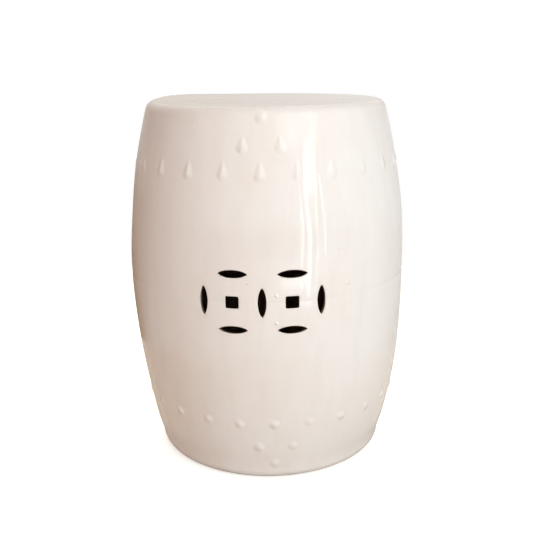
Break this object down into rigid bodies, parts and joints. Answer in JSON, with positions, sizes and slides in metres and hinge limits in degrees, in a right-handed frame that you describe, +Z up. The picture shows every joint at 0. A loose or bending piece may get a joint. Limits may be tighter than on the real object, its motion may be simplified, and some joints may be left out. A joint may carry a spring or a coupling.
{
  "type": "garden stool",
  "caption": "Barrel-shaped hollow ceramic garden stool with a flat seat, a pierced double-coin motif and rows of small applied bosses, glazed cream.",
  "frame": {"origin": "on the floor, under the middle of the stool", "axes": "+Z up, -Y out of the front where the pierced motif faces the viewer, +X to the viewer's right"},
  "size_m": [0.356, 0.356, 0.457],
  "materials": {
    "cream_glaze": "glossy",
    "bare_clay": "matte"
  },
  "bodies": {
    "root": {"seat_slab": "cream_glaze", "upper_wall": "cream_glaze", "lower_wall": "cream_glaze", "foot_ring": "cream_glaze", "upper_drop_01": "cream_glaze", "upper_drop_02": "cream_glaze", "upper_drop_03": "cream_glaze", "upper_drop_04": "cream_glaze", "upper_drop_05": "cream_glaze", "upper_drop_06": "cream_glaze", "upper_drop_07": "cream_glaze", "upper_drop_08": "cream_glaze", "upper_drop_09": "cream_glaze", "upper_drop_10": "cream_glaze", "upper_drop_11": "cream_glaze", "upper_drop_12": "cream_glaze", "upper_drop_13": "cream_glaze", "upper_drop_14": "cream_glaze", "upper_drop_15": "cream_glaze", "upper_drop_16": "cream_glaze", "upper_drop_17": "cream_glaze", "upper_drop_18": "cream_glaze", "upper_drop_19": "cream_glaze", "upper_drop_20": "cream_glaze", "upper_drop_21": "cream_glaze", "upper_drop_22": "cream_glaze", "upper_drop_23": "cream_glaze", "upper_drop_24": "cream_glaze", "lower_dome_01": "cream_glaze", "lower_dome_02": "cream_glaze", "lower_dome_03": "cream_glaze", "lower_dome_04": "cream_glaze", "lower_dome_05": "cream_glaze", "lower_dome_06": "cream_glaze", "lower_dome_07": "cream_glaze", "lower_dome_08": "cream_glaze", "lower_dome_09": "cream_glaze", "lower_dome_10": "cream_glaze", "lower_dome_11": "cream_glaze", "lower_dome_12": "cream_glaze", "lower_dome_13": "cream_glaze", "lower_dome_14": "cream_glaze", "lower_dome_15": "cream_glaze", "lower_dome_16": "cream_glaze", "lower_dome_17": "cream_glaze", "lower_dome_18": "cream_glaze", "lower_dome_19": "cream_glaze", "lower_dome_20": "cream_glaze", "lower_dome_21": "cream_glaze", "lower_dome_22": "cream_glaze", "lower_dome_23": "cream_glaze", "lower_dome_24": "cream_glaze", "upper_cluster_front": "cream_glaze", "upper_cluster_back": "cream_glaze", "lower_cluster_front": "cream_glaze", "lower_cluster_back": "cream_glaze", "seat_coil": "bare_clay", "foot_coil": "bare_clay"}
  },
  "joints": []
}
